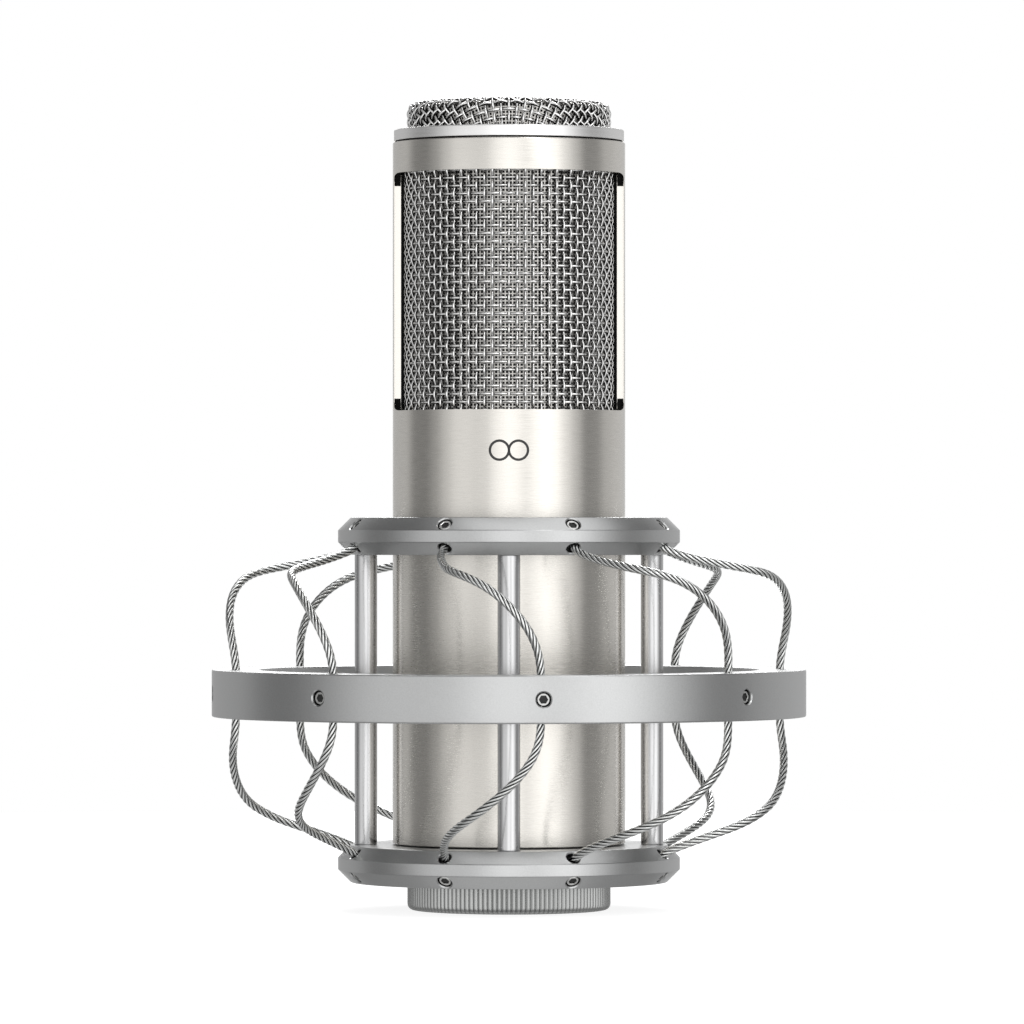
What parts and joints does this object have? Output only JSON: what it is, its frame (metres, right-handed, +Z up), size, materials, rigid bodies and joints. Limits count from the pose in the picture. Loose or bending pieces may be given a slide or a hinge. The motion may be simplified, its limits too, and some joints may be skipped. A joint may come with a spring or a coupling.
{
  "type": "ribbon microphone in shock mount",
  "caption": "Side-address ribbon microphone with woven-wire windows, clamped by a knurled nut in a bevelled cage that hangs from an outer ring on twisted wire ropes.",
  "frame": {"origin": "on the microphone's axis, at the face of the connector's insulator", "axes": "+Z up along the microphone's axis towards the top grille, -Y towards the front window, so the stand bracket is on the +Y side"},
  "size_m": [0.1456, 0.1726, 0.1992],
  "materials": {
    "champagne_nickel": "brushed satin nickel plate on brass, warm",
    "satin_nickel": "satin nickel",
    "woven_wire": "bright woven wire",
    "fine_mesh": "dull fine mesh",
    "satin_aluminium": "satin",
    "anodised_aluminium": "bead-blasted, clear anodised",
    "polished_aluminium": "polished",
    "wire_rope": "galvanised strands",
    "screw_steel": "plated steel",
    "black_plastic": "matte",
    "black_rubber": "matte",
    "gold_plate": "gold plated",
    "brass": "turned",
    "transformer_steel": "dark painted steel",
    "magnet_nickel": "nickel plated magnet",
    "ribbon_aluminium": "bright leaf"
  },
  "bodies": {
    "ring": {"outer_ring": "anodised_aluminium", "ring_clamp_screw_1": "screw_steel", "ring_clamp_screw_2": "screw_steel", "ring_clamp_screw_3": "screw_steel", "ring_clamp_screw_4": "screw_steel", "ring_clamp_screw_5": "screw_steel", "ring_clamp_screw_6": "screw_steel", "ring_clamp_screw_7": "screw_steel", "ring_clamp_screw_8": "screw_steel", "rope_1": "wire_rope", "rope_2": "wire_rope", "rope_3": "wire_rope", "rope_4": "wire_rope", "rope_5": "wire_rope", "rope_6": "wire_rope", "rope_7": "wire_rope", "rope_8": "wire_rope", "stand_bracket": "anodised_aluminium"},
    "cage": {"upper_flange": "anodised_aluminium", "lower_flange": "anodised_aluminium", "post_front": "polished_aluminium", "post_right": "polished_aluminium", "post_back": "polished_aluminium", "post_left": "polished_aluminium", "post_screw_upper_front": "screw_steel", "post_screw_upper_right": "screw_steel", "post_screw_upper_back": "screw_steel", "post_screw_upper_left": "screw_steel", "post_screw_lower_front": "screw_steel", "post_screw_lower_right": "screw_steel", "post_screw_lower_back": "screw_steel", "post_screw_lower_left": "screw_steel"},
    "microphone": {"body_tube": "champagne_nickel", "side_grille": "woven_wire", "side_grille_liner": "fine_mesh", "top_ring": "satin_nickel", "top_grille": "woven_wire", "top_grille_liner": "fine_mesh", "base_cap": "satin_aluminium", "connector_insulator": "black_plastic", "connector_pin_1": "gold_plate", "connector_pin_2": "gold_plate", "connector_pin_3": "gold_plate", "transformer_can": "transformer_steel", "chassis_rail_left": "satin_aluminium", "chassis_rail_right": "satin_aluminium", "bulkhead": "satin_aluminium", "motor_isolator_left": "black_rubber", "motor_isolator_right": "black_rubber", "motor_frame": "transformer_steel", "magnet_left": "magnet_nickel", "magnet_right": "magnet_nickel", "ribbon_clamp_top": "brass", "ribbon_clamp_bottom": "brass", "ribbon": "ribbon_aluminium"},
    "washer": {"thrust_washer": "black_plastic"},
    "nut": {"locking_nut": "satin_aluminium"},
    "swivel": {"stand_swivel": "satin_aluminium", "thread_insert": "brass"},
    "tilt_knob": {"tilt_screw": "screw_steel"}
  },
  "joints": [
    {"name": "suspension_bounce", "type": "slide", "parent": "ring", "child": "cage", "axis": [0, 0, 1], "range_m": [-0.004, 0.004], "stiffness_N_per_m": 2500, "springref_m": 0.0028, "deforming": ["rope_1", "rope_2", "rope_3", "rope_4", "rope_5", "rope_6", "rope_7", "rope_8"]},
    {"name": "mic_lift_out", "type": "slide", "parent": "cage", "child": "microphone", "axis": [0, 0, 1], "range_m": [0, 0.11]},
    {"name": "nut_travel", "type": "slide", "parent": "cage", "child": "washer", "axis": [0, 0, -1], "range_m": [0, 0.0083]},
    {"name": "nut_turn", "type": "hinge", "parent": "washer", "child": "nut", "pos_m": [0, 0, -0.0112], "axis": [0, 0, 1], "range_deg": [0, 1980]},
    {"name": "stand_tilt", "type": "hinge", "parent": "ring", "child": "swivel", "pos_m": [0.01097, 0.08933, 0.03865], "axis": [0.9925, -0.1219, 0], "range_deg": [-15, 90]},
    {"name": "tilt_screw_turn", "type": "hinge", "parent": "ring", "child": "tilt_knob", "pos_m": [0.01097, 0.08933, 0.03865], "axis": [0.9925, -0.1219, 0], "range_deg": [0, 180]}
  ],
  "couplings": [
    {"joint": "nut_travel", "follows": "nut_turn", "m_per_rad": 0.00023873}
  ]
}
